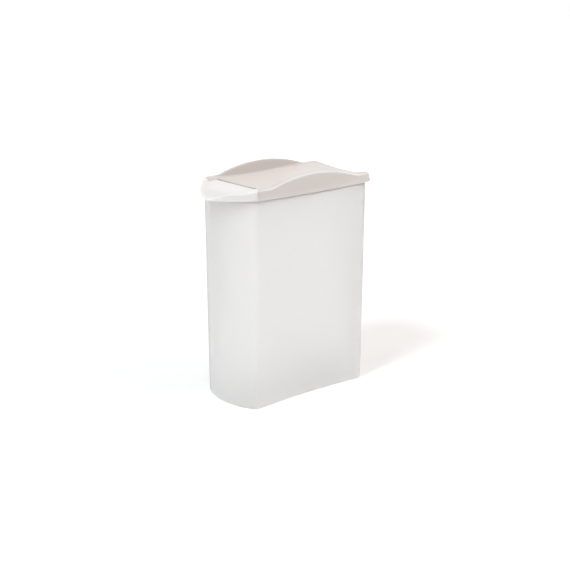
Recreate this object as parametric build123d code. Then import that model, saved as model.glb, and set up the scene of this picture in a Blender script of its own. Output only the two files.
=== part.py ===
from build123d import *
import math
import os

# Cereal container with a flip spout, in millimetres.
# Frame: +Z up, the spout faces -Y, the long sides face +X and -X.
# The origin is the middle of the foot, on the surface that the container stands on.

# ---- container -------------------------------------------------------------
CONTAINER_LENGTH = 214.5      # rim, over the front and back bows
CONTAINER_WIDTH = 107.0       # rim, at the corners
CONTAINER_HEIGHT = 280.2      # top of the rim
CONTAINER_WALL = 1.6
FLOOR_THICKNESS = 2.2
DRAFT_IN = 2.2                # the foot is this much smaller than the rim, each side
FRONT_BOW = 16.0              # how far the front wall bows forward
BACK_BOW = 11.0
SIDE_BULGE = 4.0              # the rim's long sides bow out
FOOT_PINCH = 4.8              # the foot's long sides bow in
CONTAINER_CORNER = 10.0
FOOT_ROUND = 3.2
FOOT_STEPS = 3                # strips that make up the rounded foot
FOOT_RING = 6.0               # width of the ring that the container stands on
FOOT_RECESS = 1.0
BEAD_OUT = 1.5                # rolled bead round the rim
BEAD_HEIGHT = 2.0
BEAD_CHAMFER = 0.6
LEAST_ROUND = 0.5             # no corner gets sharper than this

FRONT_Y = -CONTAINER_LENGTH / 2
BACK_Y = CONTAINER_LENGTH / 2

# ---- lid, measured from the container's rim ---------------------------------
LID_WALL = 1.8
LID_OVERHANG = 4.3            # lid edge outside the container's rim
SKIRT_DEPTH = 3.2             # lower edge of the skirt, below the rim's top
LID_DRAFT = 10.0              # lean of the skirt and the side arches, degrees
LID_CORNER = 10.6
LID_BACK_CORNER = 7.6
SHOULDER_IN = 13.65           # where the long sides turn into the beak, behind the rim's front
NOSE_OUT = 21.5               # where the two flanks of the beak would meet, before it
FLANK_BOW = 3.0
NOSE_ROUND = 22.6
NOSE_DROP = 5.2               # the beak's edge hangs this far below the skirt
NOSE_SAG = 1.9                # of which this much at the middle of its sweep

CREST_RISE = 21.8             # top of the side arches, above the rim's top
HORN_RISE = 10.4              # side walls beside the hinge
TAIL_RISE = 9.2               # side walls at the back
ARCH_FRONT_IN = 39.0          # where the arches start, behind the rim's front
ARCH_BACK_IN = 31.5           # where they end, before its back
ARCH_BLEND = 25.0
RIM_ROUND = 4.4
HORN_IN = 18.25               # where the side walls start to fall to the nose
TAIL_IN = 0.25                # where they fall to the back edge
TAIL_ROUND = 8.0

TROUGH_IN = 3.0               # side of the trough, inside the container's side
TROUGH_CORNER = 9.0
DECK_CORNER = 3.0             # deck to side wall
DECK_RISE = 6.2               # deck beside the hinge, above the rim's top
DECK_SECTIONS = [             # share of the way from hinge to back, rise of the deck's edges and middle
    (0.0, 7.4, DECK_RISE),
    (0.15, 5.1, 4.95),
    (0.3, 4.3, 4.05),
    (0.45, 4.8, 3.3),
    (0.6, 6.1, 2.75),
    (0.75, 7.6, 2.3),
    (0.9, 8.7, 1.9),
    (1.07, 9.0, 1.4),
]
BROW_OUT = 5.75               # where the flap's top turns down to the nose, before the rim's front
BROW_FALL = 2.4               # below the deck beside the hinge
BROW_ROUND = 14.0
NOSE_FALL = 2.8               # top of the nose at its tip, below the rim's top

PLUG_FIT = 0.4                # plug rib to the container's inside
PLUG_WALL = 1.4
PLUG_DEPTH = 8.0              # below the top of the container's rim
BEAD_FIT = 0.35               # front rib to the rim bead
SNAP_FIT = 0.1                # snap bead to the rim bead
SNAP_HEIGHT = 1.0
SNAP_ROOT = 1.0               # snap bead into the skirt
RIB_WALL = 1.2
RIB_PITCH = 44.0
SIDE_RIBS = 4
BACK_RIBS = 2

# ---- hinge and spout -------------------------------------------------------
HINGE_IN = 29.25              # hinge line behind the rim's front
HINGE_SINK = 2.7              # below the deck beside it
BARREL_RADIUS = 2.6
BARREL_IN = 5.6               # end of the barrel, inside the trough's side
EAR_GAP = 0.3                 # barrel end to ear
EAR_LENGTH = 12.0             # ears' front face before the hinge line
PIN_RADIUS = 1.5
PIN_LENGTH = 3.2
PIN_FIT = 0.06                # radial, pin in its bore
BOSS_RADIUS = 3.4
SWING_RADIUS = 5.0            # clear space round the hinge line
CRADLE_WALL = 1.6

FLAP_WALL = 1.8
FLAP_GAP = 0.4                # flap to ears, front to back
NEST_GAP = 0.6                # flap to the spout under it
SPOUT_WALL = 1.6
SPOUT_SETBACK = 1.6           # the spout's edge stays this far above the flap's

MOUTH_BACK = 7.0              # straight back edge of the pour opening, before the hinge line
MOUTH_MARGIN = 2.2            # plug rib to the opening's front edge
MOUTH_IN = 4.9                # side of the opening, inside the barrel's end
MOUTH_CORNER = 3.5
STOPPER_FIT = 0.8             # flap's sealing ring to the opening
STOPPER_WALL = 1.4
STOPPER_DEPTH = 2.4           # below the top of the spout

# ---- places that follow from the sizes above --------------------------------
LID_EDGE_Z = CONTAINER_HEIGHT - SKIRT_DEPTH
CREST_Z = CONTAINER_HEIGHT + CREST_RISE
HORN_Z = CONTAINER_HEIGHT + HORN_RISE
TAIL_Z = CONTAINER_HEIGHT + TAIL_RISE
DECK_FRONT_Z = CONTAINER_HEIGHT + DECK_RISE
BROW_Z = DECK_FRONT_Z - BROW_FALL
NOSE_TOP_Z = CONTAINER_HEIGHT - NOSE_FALL
HINGE_Z = DECK_FRONT_Z - HINGE_SINK
SPOUT_TOP_Z = DECK_FRONT_Z - FLAP_WALL - NEST_GAP

SHOULDER_Y = FRONT_Y + SHOULDER_IN
NOSE_Y = FRONT_Y - NOSE_OUT
HORN_Y = FRONT_Y + HORN_IN
BROW_Y = FRONT_Y - BROW_OUT
HINGE_Y = FRONT_Y + HINGE_IN
EAR_FRONT_Y = HINGE_Y - EAR_LENGTH
TAIL_Y = BACK_Y - TAIL_IN

TROUGH_HALF = CONTAINER_WIDTH / 2 - TROUGH_IN
BARREL_HALF = TROUGH_HALF - BARREL_IN
MOUTH_HALF = BARREL_HALF - MOUTH_IN

# ---- reach of the cutting tools ----------------------------------------------
OVERLAP = 1.0                 # tools pass this far through what they cut
NEAR = 0.1                    # tolerance when an edge is picked by its place
BEVEL = 2 - math.sqrt(2)      # bevel, for each unit of a round corner's radius, that touches the round
FAR = 40.0                    # beyond the ends of the lid
AROUND = 2 * FAR              # beyond its sides
BEYOND_NOSE_Y = NOSE_Y - FAR / 4
BEYOND_BACK_Y = BACK_Y + FAR / 4
HIGH = CREST_Z + FAR / 2      # above everything
LOW = LID_EDGE_Z - FAR / 2    # below the whole lid
DRAFT_FOOT_Z = LID_EDGE_Z - FAR / 5    # where the lid's drafted outline starts, below the nose
DRAFT_TOP_Z = CREST_Z + FAR / 4        # and where it ends, above the arches


# ---- plan outlines ---------------------------------------------------------
def bow_circle(start, end, bow, grow):
    """Centre and radius of the circle from start to end with this bow, made larger by `grow`."""
    chord = math.dist(start, end)
    radius = (chord**2 / 4 + bow**2) / (2 * bow)
    reach = (radius - bow) / chord
    x = (start[0] + end[0]) / 2 - (end[1] - start[1]) * reach
    y = (start[1] + end[1]) / 2 + (end[0] - start[0]) * reach
    return x, y, abs(radius + grow)


def crossing(one, two, near):
    """Where two circles cross, on the side of a point."""
    x, y, radius = one
    apart = math.dist(one[:2], two[:2])
    along = (radius**2 - two[2] ** 2 + apart**2) / (2 * apart)
    off = math.sqrt(radius**2 - along**2)
    ux, uy = (two[0] - x) / apart, (two[1] - y) / apart
    points = [(x + ux * along - uy * side * off, y + uy * along + ux * side * off) for side in (1, -1)]
    return min(points, key=lambda point: math.dist(point, near))


def arc_on(circle, start, end):
    """The shorter arc of a circle between two of its points."""
    x, y, radius = circle
    dx, dy = (start[0] + end[0]) / 2 - x, (start[1] + end[1]) / 2 - y
    scale = radius / math.hypot(dx, dy)
    return ThreePointArc(start, (x + dx * scale, y + dy * scale), end)


def bowed_outline(corners, bows, rounds, grow):
    """Outline through corners taken counter-clockwise: each side bowed, each corner rounded, all grown."""
    ends = corners[1:] + corners[:1]
    circles = [bow_circle(start, end, bow, grow) for start, end, bow in zip(corners, ends, bows)]
    before = circles[-1:] + circles[:-1]
    starts = [crossing(one, two, corner) for one, two, corner in zip(before, circles, corners)]
    stops = starts[1:] + starts[:1]
    plan = make_face([arc_on(circle, start, stop) for circle, start, stop in zip(circles, starts, stops)])
    for corner, radius in zip(starts, rounds):
        vertex = plan.vertices().sort_by_distance(corner)[0]
        plan = fillet(vertex, max(radius + grow, LEAST_ROUND))
    return plan


def container_outline(bulge, grow):
    half = CONTAINER_WIDTH / 2
    front, back = FRONT_Y + FRONT_BOW, BACK_Y - BACK_BOW
    corners = [(-half, front), (half, front), (half, back), (-half, back)]
    return bowed_outline(corners, [FRONT_BOW, bulge, BACK_BOW, bulge], [CONTAINER_CORNER] * 4, grow)


def rim_plan(grow=0.0):
    return container_outline(SIDE_BULGE, grow)


def waist_plan(grow=0.0):
    """Half way up: between the foot's outline and the rim's."""
    return container_outline((SIDE_BULGE - FOOT_PINCH) / 2, grow - DRAFT_IN / 2)


def foot_plan(grow=0.0):
    return container_outline(-FOOT_PINCH, grow - DRAFT_IN)


def lid_plan(z):
    """Lid outline at a height: the container's, grown all round, with a beak in front."""
    half = CONTAINER_WIDTH / 2 + LID_OVERHANG
    back = BACK_Y - BACK_BOW + LID_OVERHANG
    corners = [(0, NOSE_Y), (half, SHOULDER_Y), (half, back), (-half, back), (-half, SHOULDER_Y)]
    bows = [FLANK_BOW, SIDE_BULGE, BACK_BOW, SIDE_BULGE, FLANK_BOW]
    rounds = [NOSE_ROUND, LID_CORNER, LID_BACK_CORNER, LID_BACK_CORNER, LID_CORNER]
    return bowed_outline(corners, bows, rounds, (LID_EDGE_Z - z) * math.tan(math.radians(LID_DRAFT)))


# ---- side views (Y across, Z up) -------------------------------------------
def side_solid(edges, half, rounds=()):
    """A side view drawn with lines and arcs, rounded at (y, radius), made 2 x half wide."""
    face = make_face(edges)
    for y, radius in rounds:
        face = fillet([v for v in face.vertices() if abs(v.X - y) < NEAR and v.Y < HIGH - NEAR], radius)
    return extrude(Plane.YZ * face, half, both=True)


def arch_envelope(inset=0.0):
    """Everything below the tops of the side walls and above the skirt's edge."""
    start, end = FRONT_Y + ARCH_FRONT_IN, BACK_Y - ARCH_BACK_IN
    nose = (BEYOND_NOSE_Y, NOSE_TOP_Z - inset)
    horn, arch_front = (HORN_Y, HORN_Z - inset), (start, HORN_Z - inset)
    arch_back, tail = (end, TAIL_Z - inset), (TAIL_Y, TAIL_Z - inset)
    back = (BEYOND_BACK_Y, LID_EDGE_Z - inset)
    edges = [
        Line((nose[0], LOW), nose),
        Line(nose, horn),
        Line(horn, arch_front),
        ThreePointArc(arch_front, ((start + end) / 2, CREST_Z - inset), arch_back),
        Line(arch_back, tail),
        Line(tail, back),
        Line(back, (back[0], LOW)),
        Line((back[0], LOW), (nose[0], LOW)),
    ]
    rounds = [(start, ARCH_BLEND), (end, ARCH_BLEND), (HORN_Y, TAIL_ROUND), (TAIL_Y, TAIL_ROUND)]
    return side_solid(edges, CONTAINER_WIDTH, rounds)


def dish_section(y, edge, middle, inset):
    """Cross-section of the space over the deck: a shallow arc that turns up into two upright sides.

    The deck's upper side has round corners; underneath, a plain bevel keeps the same wall.
    """
    half = TROUGH_HALF + inset
    low, high = (-half, edge - inset), (-half, HIGH)
    outline = [
        ThreePointArc(low, (0, middle - inset), (half, edge - inset)),
        Line((half, edge - inset), (half, HIGH)),
        Line((half, HIGH), high),
        Line(high, low),
    ]
    face = make_face(outline)
    corners = [v for v in face.vertices() if v.Y < CREST_Z]
    face = chamfer(corners, BEVEL * (DECK_CORNER + inset)) if inset else fillet(corners, DECK_CORNER)
    return Pos(0, y, 0) * Rot(90, 0, 0) * face


def above_deck(inset=0.0):
    """The space over the deck: dished, its edges climbing the side walls at both ends."""
    sections = []
    for share, edge, middle in DECK_SECTIONS:
        y = HINGE_Y + share * (BACK_Y - HINGE_Y)
        sections.append(dish_section(y, CONTAINER_HEIGHT + edge, CONTAINER_HEIGHT + middle, inset))
    return loft(sections, ruled=True)


def above_flap(inset=0.0, half=TROUGH_HALF, corner=TROUGH_CORNER):
    """The space over the flap: level to the brow, then down to the nose, with concave corners."""
    nose = (BEYOND_NOSE_Y, NOSE_TOP_Z - FAR / 4 - inset)
    back = (HINGE_Y + OVERLAP, DECK_FRONT_Z - inset)
    edges = [
        Line(nose, (BROW_Y, BROW_Z - inset)),
        Line((BROW_Y, BROW_Z - inset), back),
        Line(back, (back[0], HIGH)),
        Line((back[0], HIGH), (nose[0], HIGH)),
        Line((nose[0], HIGH), nose),
    ]
    tool = side_solid(edges, half + inset, [(BROW_Y, BROW_ROUND)])
    if not corner:
        return tool
    middles = [(e, e.center()) for e in tool.edges()]
    floor = [
        e for e, c in middles
        if abs(abs(c.X) - half - inset) < NEAR and c.Z < HORN_Z and nose[0] + NEAR < c.Y < back[0] - NEAR
    ]
    return chamfer(floor, BEVEL * (corner + inset)) if inset else fillet(floor, corner)


def below_edge(setback=0.0):
    """Everything below the lower edge of the skirt, which drops towards the nose."""
    edge, bottom = LID_EDGE_Z + setback, LOW - FAR
    tip = (BEYOND_NOSE_Y, edge - NOSE_DROP)
    sweep = ((EAR_FRONT_Y + tip[0]) / 2, edge - NOSE_SAG)
    edges = [
        Line((BACK_Y + FAR, edge), (EAR_FRONT_Y, edge)),
        ThreePointArc((EAR_FRONT_Y, edge), sweep, tip),
        Line(tip, (tip[0], bottom)),
        Line((tip[0], bottom), (BACK_Y + FAR, bottom)),
        Line((BACK_Y + FAR, bottom), (BACK_Y + FAR, edge)),
    ]
    return side_solid(edges, CONTAINER_WIDTH)


# ---- helpers ---------------------------------------------------------------
def slab(x0, x1, y0, y1, z0=LOW, z1=HIGH):
    return Pos((x0 + x1) / 2, (y0 + y1) / 2, (z0 + z1) / 2) * Box(x1 - x0, y1 - y0, z1 - z0)


def prism(plan, z0, z1):
    return extrude(Pos(0, 0, z0) * plan, z1 - z0)


def stack(*levels):
    """Solid through outlines at heights, straight from each to the next."""
    return loft([Pos(0, 0, z) * plan for z, plan in levels], ruled=True)


def ring(outer, inner, z0, z1):
    return prism(outer, z0, z1) - prism(inner, z0 - OVERLAP, z1 + OVERLAP)


def along_hinge(radius, half):
    return Pos(0, HINGE_Y, HINGE_Z) * Rot(0, 90, 0) * Cylinder(radius, 2 * half)


def drafted(inset=0.0):
    """The lid's outline raised with its draft; lowered, the same block lies `inset` inside itself."""
    block = stack((DRAFT_FOOT_Z, lid_plan(DRAFT_FOOT_Z)), (DRAFT_TOP_Z, lid_plan(DRAFT_TOP_Z)))
    return Pos(0, 0, -inset / math.tan(math.radians(LID_DRAFT))) * block


def lid_form(inset=0.0):
    """The closed outer shape of lid and flap together, or a smaller one inside it."""
    body = drafted(inset) & arch_envelope(inset)
    if not inset:
        body = fillet(rim_edges(body), RIM_ROUND)
    return body - above_flap(inset) - above_deck(inset)


def rim_edges(body):
    """Edges between the steep sides and the top, leaving out the tip of the nose."""
    lean = [(f, abs(f.normal_at(f.center()).Z)) for f in body.faces()]
    steep = [e.center() for f, z in lean if z < math.sin(math.radians(2 * LID_DRAFT)) for e in f.edges()]
    tops = [e for f, z in lean if z > math.cos(math.radians(4 * LID_DRAFT)) for e in f.edges()]
    behind = [e for e in tops if e.center().Y > SHOULDER_Y - 2 * LID_CORNER and e.center().Z > LID_EDGE_Z]
    return [e for e in behind if any((e.center() - c).length < NEAR for c in steep)]


def ear_zone(gap=0.0):
    """Behind the ears' front face: upright up to the hinge line, then curved round it."""
    reach = EAR_LENGTH + gap
    return along_hinge(reach, AROUND) + slab(-AROUND, AROUND, HINGE_Y - reach, HINGE_Y, LOW, HINGE_Z)


def lid_region(inset=0.0):
    """Where the fixed lid reaches the top: the deck and arches, and an ear each side of the flap."""
    region = slab(-AROUND, AROUND, HINGE_Y + inset, BACK_Y + FAR)
    ear = BARREL_HALF + EAR_GAP + inset
    for x0, x1 in ((-AROUND, -ear), (ear, AROUND)):
        region += slab(x0, x1, HINGE_Y - FAR, HINGE_Y + 2 * inset) & ear_zone(-inset)
    return region


# ---- sub-parts -------------------------------------------------------------
def body_form(inset, floor, top, steps):
    """The container's tapered body, or the space inside it, with its foot rounded in strips."""
    radius = FOOT_ROUND - inset
    levels = []
    for step in range(steps + 1):
        angle = math.radians(90 * step / steps)
        grow = -inset - radius * (1 - math.sin(angle))
        levels.append((floor + radius * (1 - math.cos(angle)), foot_plan(grow)))
    return stack(*levels, ((floor + radius + top) / 2, waist_plan(-inset)), (top, rim_plan(-inset)))


def rim_bead():
    """The rolled bead round the container's rim."""
    foot, top = CONTAINER_HEIGHT - BEAD_HEIGHT, CONTAINER_HEIGHT
    small, large = rim_plan(BEAD_OUT - BEAD_CHAMFER), rim_plan(BEAD_OUT)
    return stack((foot, small), (foot + BEAD_CHAMFER, large), (top - BEAD_CHAMFER, large), (top, small))


def container():
    outer = body_form(0.0, 0.0, CONTAINER_HEIGHT - BEAD_HEIGHT, FOOT_STEPS) + rim_bead()
    hollow = body_form(CONTAINER_WALL, FLOOR_THICKNESS, CONTAINER_HEIGHT, 1)
    return outer - hollow - prism(foot_plan(-FOOT_RING), -OVERLAP, FOOT_RECESS)


def pour_opening(grow=0.0):
    """Plan of the pour opening: straight behind, bowed like the container's front."""
    half = CONTAINER_WIDTH / 2
    setback = CONTAINER_WALL + PLUG_FIT + PLUG_WALL + MOUTH_MARGIN
    chord = FRONT_Y + FRONT_BOW
    x, y, radius = bow_circle((-half, chord), (half, chord), FRONT_BOW, grow - setback)
    back = HINGE_Y - MOUTH_BACK + grow
    plan = (Pos(x, y) * Circle(radius)) & (Pos(0, back - FAR) * Rectangle(2 * (MOUTH_HALF + grow), 2 * FAR))
    return fillet(plan.vertices(), max(MOUTH_CORNER + grow, LEAST_ROUND))


def spout():
    """The fixed beak under the flap, with the pour opening."""
    gap = FLAP_WALL + NEST_GAP
    outer = drafted(gap) - above_flap(gap, AROUND, 0)
    inner = drafted(gap + SPOUT_WALL) - above_flap(gap + SPOUT_WALL, AROUND, 0)
    shell = (outer - inner - below_edge(SPOUT_SETBACK)) & slab(-AROUND, AROUND, NOSE_Y - FAR, HINGE_Y)
    return shell - prism(pour_opening(), LOW, HIGH)


def rim_channel():
    """Under the lid: the plug rib inside the container's mouth and, in front, the rib outside it."""
    foot = CONTAINER_HEIGHT - PLUG_DEPTH
    grow = -CONTAINER_WALL - PLUG_FIT
    plug = ring(rim_plan(grow), rim_plan(grow - PLUG_WALL), foot, HIGH)
    grow = BEAD_OUT + BEAD_FIT
    front = ring(rim_plan(grow + RIB_WALL), rim_plan(grow), LID_EDGE_Z, HIGH)
    return plug + (front & slab(-AROUND, AROUND, NOSE_Y, EAR_FRONT_Y))


def spread(count):
    """Places of ribs, one pitch apart, about the middle."""
    return [RIB_PITCH * (number - (count - 1) / 2) for number in range(count)]


def seat_ribs():
    """Short ribs across the rim channel that sit on the container's rim."""
    foot, half = CONTAINER_HEIGHT + SNAP_FIT, RIB_WALL / 2
    ribs = [slab(-AROUND, AROUND, y - half, y + half, foot) for y in spread(SIDE_RIBS)]
    ribs += [slab(x - half, x + half, 0, BACK_Y + FAR, foot) for x in spread(BACK_RIBS)]
    channel = ring(rim_plan(LID_OVERHANG), rim_plan(-CONTAINER_WALL - PLUG_FIT), foot, HIGH)
    return Part() + [rib & channel for rib in ribs]


def lid():
    upper = lid_form() & lid_region()
    inside = lid_form(LID_WALL)
    hollow = inside & lid_region(LID_WALL)
    under = (inside & slab(-AROUND, AROUND, HINGE_Y, BACK_Y + FAR)) + under_spout()
    shell = upper - hollow - below_edge() + spout()
    shell += (rim_channel() + seat_ribs()) & under
    shell += cradle() + bosses()
    shell += snap_bead()
    swing = along_hinge(SWING_RADIUS, BARREL_HALF + EAR_GAP)
    bores = along_hinge(PIN_RADIUS + PIN_FIT, BARREL_HALF + PIN_LENGTH + EAR_GAP)
    return shell - swing - bores - rim_space()


def snap_bead():
    """The bead inside the skirt that holds the lid under the container's rim bead."""
    outside, inside = rim_plan(LID_OVERHANG - SNAP_ROOT), rim_plan(BEAD_OUT + SNAP_FIT)
    bead = ring(outside, inside, LID_EDGE_Z, LID_EDGE_Z + SNAP_HEIGHT)
    return bead & slab(-AROUND, AROUND, EAR_FRONT_Y, BACK_Y + FAR)


def rim_space():
    """Room under the lid for the container's wall and rim bead."""
    outside, inside = rim_plan(BEAD_OUT + SNAP_FIT), rim_plan(-CONTAINER_WALL - PLUG_FIT)
    return ring(outside, inside, LOW, CONTAINER_HEIGHT + SNAP_FIT)


def under_spout():
    """The space under the spout's deck, where the ribs may reach."""
    gap = FLAP_WALL + NEST_GAP + SPOUT_WALL / 2
    body = drafted(gap) - above_flap(gap, AROUND, 0)
    return body & slab(-AROUND, AROUND, NOSE_Y, HINGE_Y)


def cradle():
    """Half pipe under the hinge line that joins the deck to the spout."""
    pipe = along_hinge(SWING_RADIUS + CRADLE_WALL, BARREL_HALF + EAR_GAP + LID_WALL / 2)
    return pipe & slab(-AROUND, AROUND, HINGE_Y - FAR, HINGE_Y + FAR, LOW, SPOUT_TOP_Z)


def bosses():
    """Round bosses in the ears that carry the flap's pins."""
    inner = BARREL_HALF + EAR_GAP
    return along_hinge(BOSS_RADIUS, inner + PIN_LENGTH + LID_WALL) - along_hinge(BOSS_RADIUS + OVERLAP, inner)


def stopper():
    """The ring under the flap that closes the pour opening."""
    outside, inside = pour_opening(-STOPPER_FIT), pour_opening(-STOPPER_FIT - STOPPER_WALL)
    reach = drafted(FLAP_WALL) - above_flap(FLAP_WALL / 2, AROUND, 0)
    return ring(outside, inside, SPOUT_TOP_Z - STOPPER_DEPTH, HIGH) & reach


def flip_spout():
    """The flap: shell, barrel, stub pins and the ring that closes the pour opening."""
    rear = slab(-BARREL_HALF, BARREL_HALF, EAR_FRONT_Y - FLAP_GAP - OVERLAP, HINGE_Y)
    region = slab(-AROUND, AROUND, NOSE_Y - FAR, HINGE_Y) - ear_zone(FLAP_GAP) + rear
    inner = drafted(FLAP_WALL) - above_flap(FLAP_WALL, AROUND, 0)
    shell = (lid_form() & region) - inner - below_edge() + stopper()
    return shell + along_hinge(BARREL_RADIUS, BARREL_HALF) + along_hinge(PIN_RADIUS, BARREL_HALF + PIN_LENGTH)


def main():
    os.makedirs("parts", exist_ok=True)
    for make in (container, lid, flip_spout):
        export_step(make(), f"parts/{make.__name__}.step")


main()
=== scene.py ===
import bpy
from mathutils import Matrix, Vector

# Finishes and a white studio for a cereal container with a flip spout.
# Lengths are in metres unless a name says otherwise. Levels and colours run from 0 to 1.

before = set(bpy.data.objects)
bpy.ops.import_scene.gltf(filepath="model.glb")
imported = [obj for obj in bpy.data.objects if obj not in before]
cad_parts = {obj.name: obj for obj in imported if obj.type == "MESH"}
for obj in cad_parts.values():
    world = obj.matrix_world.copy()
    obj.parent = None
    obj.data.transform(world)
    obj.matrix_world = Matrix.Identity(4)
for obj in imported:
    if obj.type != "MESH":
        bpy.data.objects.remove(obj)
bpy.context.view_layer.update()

# ---- camera, floor, lamps and sky --------------------------------------------
CAMERA_AT = (1.1950, -1.0112, 0.5976)
CAMERA_TO = (0.00013, 0.00015, 0.1402)
LENS_MM = 77.15
SENSOR_MM = 36.0

WHITE = (1.0, 1.0, 1.0, 1.0)
FLOOR_HALF = 6.0                     # half width of the studio floor
FLOOR_COLOUR = (0.9, 0.9, 0.9, 1.0)
FLOOR_ROUGHNESS = 0.9
GLOW_NEAR, GLOW_FAR = 0.165, 0.60    # the floor's glow to the camera, beside the object and far off
GLOW_FROM, GLOW_TO = 0.45, 1.4       # distances from the middle of the foot between which it grows
GLOW_THROUGH = 0.8                   # the floor's glow as seen through the milky container

LAMPS = {                            # name: place, size, power in watts, colour
    "high_key": ((0.36, -1.38, 2.14), 0.55, 23.5, (0.90, 0.98, 1.0)),
    "front_soft_box": ((-0.92, -1.70, 1.50), 1.6, 7.0, (1.0, 0.99, 0.98)),
    "side_fill": ((1.35, 0.9, 1.85), 1.4, 12.5, (1.0, 0.88, 0.82)),
    "back_fill": ((0.95, 2.0, 1.25), 1.8, 10.5, (1.0, 1.0, 1.0)),
}
LAMPS_AIM = (0.0, 0.0, 0.15)
SKY_COLOUR = (1.0, 0.978, 0.962, 1.0)
SKY_LEVEL = 0.525                    # strength of the sky as light
BACKDROP_WHITE = 1.0                 # its strength as the white behind the object

# ---- plastics ----------------------------------------------------------------
PLASTIC_IOR = 1.49
CONTAINER_MILK = (0.954, 0.950, 0.944, 1.0)
CONTAINER_CLOUD = (0.922, 0.922, 0.919, 1.0)
# The lid and the flap are one warm white plastic. The lid's tones are set darker and pinker than that, as
# painted shade for its shaded sides and trough. The flap's are set lighter, as painted light for its lit
# top.
LID_SHADED_WHITE = (0.674, 0.628, 0.606, 1.0)
LID_SHADED_CLOUD = (0.648, 0.598, 0.574, 1.0)
RIM_HIGHLIGHT_WHITE = (0.86, 0.855, 0.85, 1.0)     # painted highlight on the rim edges, lighter where light from above catches their rounds
FLAP_LIT_WHITE = (0.820, 0.787, 0.772, 1.0)
FLAP_LIT_CLOUD = (0.798, 0.764, 0.746, 1.0)
MILKY_REACH = (1.0, 0.98, 0.95)          # how far red, green and blue light wander in the container
WARM_REACH = (1.0, 0.95, 0.92)           # and in the lid and flap

# ---- patterns on them ----------------------------------------------------------
GRAIN_IN_GLOSS = 0.35                # share of the grain in the roughness; flow ripples make the rest
GRAIN_IN_RELIEF = 0.12               # height of the grain, where the flow ripples have 1
RELIEF_STRENGTH = 0.35
SPECK_SHARE = 0.2                    # share of the specks in the clouding; slow drift makes the rest
SCUFF_SQUEEZE = (1.0, 1.0, 0.12)     # slows the pattern along Z, so that scuffs run upright
RIM_HIGHLIGHT_FACING = (0.3, 0.75)          # upward part of the normal where the painted rim highlight starts and is full
RIM_HIGHLIGHT_PATCHES_PER_METRE = 45.0              # patches per metre that thin the painted rim highlight


# ---- node helpers ------------------------------------------------------------
def feed(tree, target, value):
    """Links a socket to an input, or sets the input to a plain value."""
    if isinstance(value, bpy.types.NodeSocket):
        tree.links.new(value, target)
    else:
        target.default_value = value


def node(tree, kind, **values):
    """A node with its own settings, in small letters, and its inputs, with capitals, given by name."""
    made = tree.nodes.new(kind)
    for name, value in values.items():
        if name.islower():
            setattr(made, name, value)
        else:
            feed(tree, made.inputs[name.replace("_", " ")], value)
    return made


def math_node(tree, operation, *values):
    """The result of one operation on its values."""
    made = node(tree, "ShaderNodeMath", operation=operation)
    for target, value in zip(made.inputs, values):
        feed(tree, target, value)
    return made.outputs[0]


def noise(tree, where, per_metre, detail, roughness):
    """The level of a noise pattern at a place."""
    made = node(tree, "ShaderNodeTexNoise", Vector=where, Scale=per_metre, Detail=detail,
                Roughness=roughness)
    return made.outputs["Fac"]


def ramp(tree, value, start=0.0, end=1.0, low=0.0, high=1.0, shape="LINEAR"):
    """A level that runs from low to high while a value runs from start to end, and stays there beyond."""
    made = node(tree, "ShaderNodeMapRange", interpolation_type=shape, Value=value,
                From_Min=start, From_Max=end, To_Min=low, To_Max=high)
    return made.outputs["Result"]


def weighted(tree, one, share, other):
    """Two levels added: the first with its share, the second with what is left of 1."""
    return math_node(tree, "ADD", math_node(tree, "MULTIPLY", one, share),
                     math_node(tree, "MULTIPLY", other, 1.0 - share))


def between(tree, level, one, other):
    """A colour that is the first where the level is 0 and the second where it is 1."""
    made = node(tree, "ShaderNodeMix", data_type="RGBA", Factor=level, A=one, B=other)
    return made.outputs["Result"]


def coordinates(tree, kind):
    """The piece's own coordinates, or the direction that its surface faces."""
    return tree.nodes.new("ShaderNodeTexCoord").outputs[kind]


def new_group(name, inputs, outputs):
    """An empty shader node group, what it is given and what it puts out.

    Inputs are (name, kind, default), and outputs are (name, kind).
    """
    group = bpy.data.node_groups.new(name, "ShaderNodeTree")
    for label, kind, default in inputs:
        socket = group.interface.new_socket(label, in_out="INPUT", socket_type=kind)
        socket.default_value = default
    for label, kind in outputs:
        group.interface.new_socket(label, in_out="OUTPUT", socket_type=kind)
    given = group.nodes.new("NodeGroupInput").outputs
    result = group.nodes.new("NodeGroupOutput").inputs
    return group, given, result


# ---- effects shared by the finishes --------------------------------------------
def moulded_skin():
    """Fine grain of a mould with slow flow ripples under it: roughness and height."""
    group, given, result = new_group(
        "moulded_skin",
        [("Vector", "NodeSocketVector", (0, 0, 0)), ("Grain per metre", "NodeSocketFloat", 900.0),
         ("Flow per metre", "NodeSocketFloat", 14.0), ("Polished", "NodeSocketFloat", 0.3),
         ("Matt", "NodeSocketFloat", 0.45)],
        [("Roughness", "NodeSocketFloat"), ("Height", "NodeSocketFloat")])
    grain = noise(group, given["Vector"], given["Grain per metre"], detail=3.0, roughness=0.6)
    flow = noise(group, given["Vector"], given["Flow per metre"], detail=2.0, roughness=0.45)
    both = weighted(group, grain, GRAIN_IN_GLOSS, flow)
    roughness = ramp(group, both, low=given["Polished"], high=given["Matt"])
    height = math_node(group, "ADD", math_node(group, "MULTIPLY", grain, GRAIN_IN_RELIEF), flow)
    group.links.new(roughness, result["Roughness"])
    group.links.new(height, result["Height"])
    return group


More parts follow.
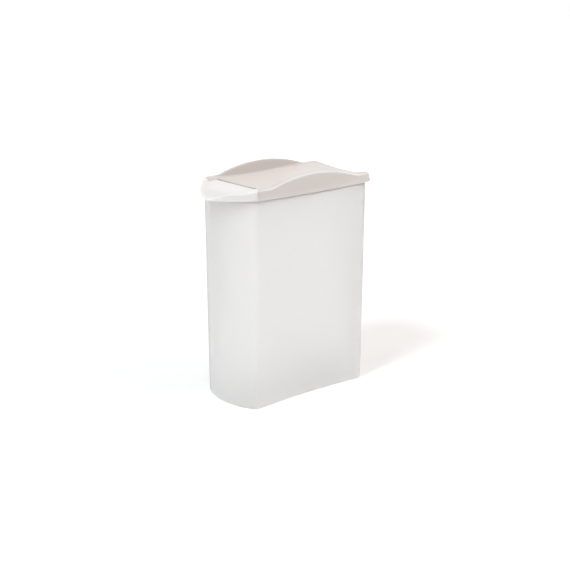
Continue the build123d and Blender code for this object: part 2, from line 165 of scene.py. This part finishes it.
def clouded_colour():
    """Slow drift of a plastic's colour between two tones, with small specks in it."""
    group, given, result = new_group(
        "clouded_colour",
        [("Vector", "NodeSocketVector", (0, 0, 0)), ("Clear", "NodeSocketColor", (1, 1, 1, 1)),
         ("Cloud", "NodeSocketColor", (0.9, 0.9, 0.9, 1)), ("Drift per metre", "NodeSocketFloat", 9.0),
         ("Speck per metre", "NodeSocketFloat", 260.0)],
        [("Colour", "NodeSocketColor")])
    drift = noise(group, given["Vector"], given["Drift per metre"], detail=4.0, roughness=0.5)
    speck = noise(group, given["Vector"], given["Speck per metre"], detail=2.0, roughness=0.5)
    clouding = weighted(group, speck, SPECK_SHARE, drift)
    group.links.new(between(group, clouding, given["Clear"], given["Cloud"]), result["Colour"])
    return group


def handling_scuffs():
    """Faint short rubs from handling and stacking, mostly upright: a mask that is 0 nearly everywhere."""
    group, given, result = new_group(
        "handling_scuffs",
        [("Vector", "NodeSocketVector", (0, 0, 0)), ("Scuff per metre", "NodeSocketFloat", 60.0),
         ("Least", "NodeSocketFloat", 0.66), ("Most", "NodeSocketFloat", 0.8)],
        [("Scuff", "NodeSocketFloat")])
    upright = node(group, "ShaderNodeMapping", Vector=given["Vector"], Scale=SCUFF_SQUEEZE)
    rubs = noise(group, upright.outputs["Vector"], given["Scuff per metre"], detail=6.0, roughness=0.7)
    scuff = ramp(group, rubs, given["Least"], given["Most"], shape="SMOOTHSTEP")
    group.links.new(scuff, result["Scuff"])
    return group


def painted_rim_highlight():
    """A painted highlight on the rim edges, where light from above catches their rounds: a mask on faces
    that look up, far out to each side.

    It rises from 0 at the inner half width to 1 at the outer one, and patches of noise thin it.
    """
    group, given, result = new_group(
        "painted_rim_highlight",
        [("Vector", "NodeSocketVector", (0, 0, 0)), ("Up", "NodeSocketVector", (0, 0, 1)),
         ("Inner", "NodeSocketFloat", 0.0545), ("Outer", "NodeSocketFloat", 0.0575),
         ("Patchy", "NodeSocketFloat", 0.35)],
        [("Highlight", "NodeSocketFloat")])
    place_xyz = node(group, "ShaderNodeSeparateXYZ", Vector=given["Vector"])
    facing_xyz = node(group, "ShaderNodeSeparateXYZ", Vector=given["Up"])
    half_width = math_node(group, "ABSOLUTE", place_xyz.outputs["X"])
    beside = ramp(group, half_width, given["Inner"], given["Outer"], shape="SMOOTHSTEP")
    upward = ramp(group, facing_xyz.outputs["Z"], *RIM_HIGHLIGHT_FACING, shape="SMOOTHSTEP")
    uneven = noise(group, given["Vector"], RIM_HIGHLIGHT_PATCHES_PER_METRE, detail=3.0, roughness=0.6)
    kept = math_node(group, "SUBTRACT", 1.0, math_node(group, "MULTIPLY", uneven, given["Patchy"]))
    highlight = math_node(group, "MULTIPLY", math_node(group, "MULTIPLY", beside, upward), kept)
    group.links.new(highlight, result["Highlight"])
    return group


EFFECTS = {"skin": moulded_skin(), "colour": clouded_colour(), "scuffs": handling_scuffs(),
           "rims": painted_rim_highlight()}


def place(tree, effect, **values):
    """One of the shared effects put into a material, read at the piece's own coordinates."""
    made = node(tree, "ShaderNodeGroup", node_tree=EFFECTS[effect],
                Vector=coordinates(tree, "Object"), **values)
    return made.outputs


# ---- finishes ------------------------------------------------------------------
def new_material(name):
    """A material, its node tree and its main shader."""
    material = bpy.data.materials.new(name)
    material.use_nodes = True
    return material, material.node_tree, material.node_tree.nodes["Principled BSDF"]


def plastic(name, clear, cloud, polished, matt, grain, flow, relief_mm, scuffing, painted_highlight=None):
    """Moulded plastic: clouded colour, grained roughness, flow ripples in relief and faint scuffs.

    Grain and flow are patterns per metre, scuffing is roughness added by a scuff, and the last argument is
    the colour of a painted highlight on the rim edges of a piece that has one.
    """
    material, tree, shader = new_material(name)
    colour = place(tree, "colour", Clear=clear, Cloud=cloud)["Colour"]
    skin = place(tree, "skin", Grain_per_metre=grain, Flow_per_metre=flow, Polished=polished, Matt=matt)
    scuffs = place(tree, "scuffs")
    # painted highlight: the colour is lightened on the rim edges where light from above would catch them
    if painted_highlight:
        rims = place(tree, "rims", Up=coordinates(tree, "Normal"))
        colour = between(tree, rims["Highlight"], colour, painted_highlight)
    rough = math_node(tree, "ADD", skin["Roughness"], math_node(tree, "MULTIPLY", scuffs["Scuff"], scuffing))
    relief = node(tree, "ShaderNodeBump", Strength=RELIEF_STRENGTH, Distance=relief_mm / 1000,
                  Height=skin["Height"])
    tree.links.new(colour, shader.inputs["Base Color"])
    tree.links.new(rough, shader.inputs["Roughness"])
    tree.links.new(relief.outputs["Normal"], shader.inputs["Normal"])
    shader.inputs["IOR"].default_value = PLASTIC_IOR
    return material, shader


def scatter_inside(shader, weight, reach, depth_mm):
    """Light that wanders inside the plastic: how much of it, its reach by colour, and how deep."""
    shader.inputs["Subsurface Weight"].default_value = weight
    shader.inputs["Subsurface Radius"].default_value = reach
    shader.inputs["Subsurface Scale"].default_value = depth_mm / 1000


def container_finish():
    """Milky translucent polypropylene with a satin skin."""
    material, shader = plastic("container_milky", CONTAINER_MILK, CONTAINER_CLOUD, polished=0.45,
                               matt=0.68, grain=700.0, flow=11.0, relief_mm=0.35, scuffing=0.2)
    shader.inputs["Transmission Weight"].default_value = 0.75
    scatter_inside(shader, 0.2, MILKY_REACH, depth_mm=12.0)
    return material


def lid_finish():
    """Opaque warm white polypropylene with a soft satin gloss and a painted highlight along its rim edges.
    """
    # painted shade: the lid's colour is set darker and pinker than the flap's, for its shaded sides and
    # trough
    material, shader = plastic("lid_white", LID_SHADED_WHITE, LID_SHADED_CLOUD, polished=0.26, matt=0.40, grain=900.0,
                               flow=16.0, relief_mm=0.25, scuffing=0.18, painted_highlight=RIM_HIGHLIGHT_WHITE)
    scatter_inside(shader, 0.6, WARM_REACH, depth_mm=6.0)
    return material


def flap_finish():
    """The lid's plastic, a little smoother, its colour set lighter than the lid's as painted light on its
    lit top.
    """
    material, shader = plastic("flap_white", FLAP_LIT_WHITE, FLAP_LIT_CLOUD, polished=0.25, matt=0.38, grain=900.0,
                               flow=18.0, relief_mm=0.2, scuffing=0.22)
    scatter_inside(shader, 0.6, WARM_REACH, depth_mm=6.0)
    return material


def dress(name, material):
    """Gives a CAD piece its finish."""
    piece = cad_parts[name]
    piece.data.materials.clear()
    piece.data.materials.append(material)


dress("container", container_finish())
dress("lid", lid_finish())
dress("flip_spout", flap_finish())


# ---- studio --------------------------------------------------------------------
def seen_directly(tree):
    """Two values of 1 or 0: rays straight from the camera or off gloss, and rays through clear walls."""
    path = tree.nodes.new("ShaderNodeLightPath")
    straight = math_node(tree, "MAXIMUM", path.outputs["Is Camera Ray"], path.outputs["Is Glossy Ray"])
    return straight, path.outputs["Is Transmission Ray"]


def studio_floor():
    """Pale floor that glows white to the camera and still takes the object's soft shadow."""
    mesh = bpy.data.meshes.new("studio_floor")
    corners = [(x * FLOOR_HALF, y * FLOOR_HALF, 0.0) for x, y in ((-1, -1), (1, -1), (1, 1), (-1, 1))]
    mesh.from_pydata(corners, [], [(0, 1, 2, 3)])
    floor = bpy.data.objects.new("studio_floor", mesh)
    bpy.context.scene.collection.objects.link(floor)
    material, tree, shader = new_material("studio_floor")
    shader.inputs["Base Color"].default_value = FLOOR_COLOUR
    shader.inputs["Roughness"].default_value = FLOOR_ROUGHNESS
    shader.inputs["Specular IOR Level"].default_value = 0.0
    shader.inputs["Emission Color"].default_value = WHITE
    away = node(tree, "ShaderNodeVectorMath", operation="LENGTH")
    tree.links.new(coordinates(tree, "Object"), away.inputs[0])
    growing = ramp(tree, away.outputs["Value"], GLOW_FROM, GLOW_TO, GLOW_NEAR, GLOW_FAR)
    straight, through = seen_directly(tree)
    glow = math_node(tree, "MAXIMUM", math_node(tree, "MULTIPLY", straight, growing),
                     math_node(tree, "MULTIPLY", through, GLOW_THROUGH))
    tree.links.new(glow, shader.inputs["Emission Strength"])
    mesh.materials.append(material)


def studio_sky():
    """White surroundings: full white to the camera, in gloss and through clear walls, softer as light."""
    world = bpy.data.worlds.new("studio_sky")
    bpy.context.scene.world = world
    world.use_nodes = True
    tree = world.node_tree
    background = tree.nodes["Background"]
    background.inputs["Color"].default_value = SKY_COLOUR
    background.inputs["Strength"].default_value = SKY_LEVEL
    white = node(tree, "ShaderNodeBackground", Color=WHITE, Strength=BACKDROP_WHITE)
    mix = node(tree, "ShaderNodeMixShader", Fac=math_node(tree, "MAXIMUM", *seen_directly(tree)))
    tree.links.new(background.outputs["Background"], mix.inputs[1])
    tree.links.new(white.outputs["Background"], mix.inputs[2])
    tree.links.new(mix.outputs["Shader"], tree.nodes["World Output"].inputs["Surface"])


def set_up(name, data, at, target):
    """A lamp or camera at its place, turned to a point."""
    made = bpy.data.objects.new(name, data)
    made.location = at
    aim = Vector(target) - Vector(at)
    made.rotation_euler = aim.to_track_quat("-Z", "Y").to_euler()
    bpy.context.scene.collection.objects.link(made)
    return made


def soft_box(name, at, size, power, colour):
    """A round soft lamp."""
    light = bpy.data.lights.new(name, "AREA")
    light.shape = "DISK"
    light.size = size
    light.energy = power
    light.color = colour
    set_up(name, light, at, LAMPS_AIM)


def studio_camera():
    """The camera at the photograph's viewing angle."""
    lens = bpy.data.cameras.new("camera")
    lens.lens = LENS_MM
    lens.sensor_width = SENSOR_MM
    bpy.context.scene.camera = set_up("camera", lens, CAMERA_AT, CAMERA_TO)


studio_floor()
studio_sky()
for name, lamp in LAMPS.items():
    soft_box(name, *lamp)
studio_camera()
bpy.context.scene.view_settings.view_transform = "Standard"
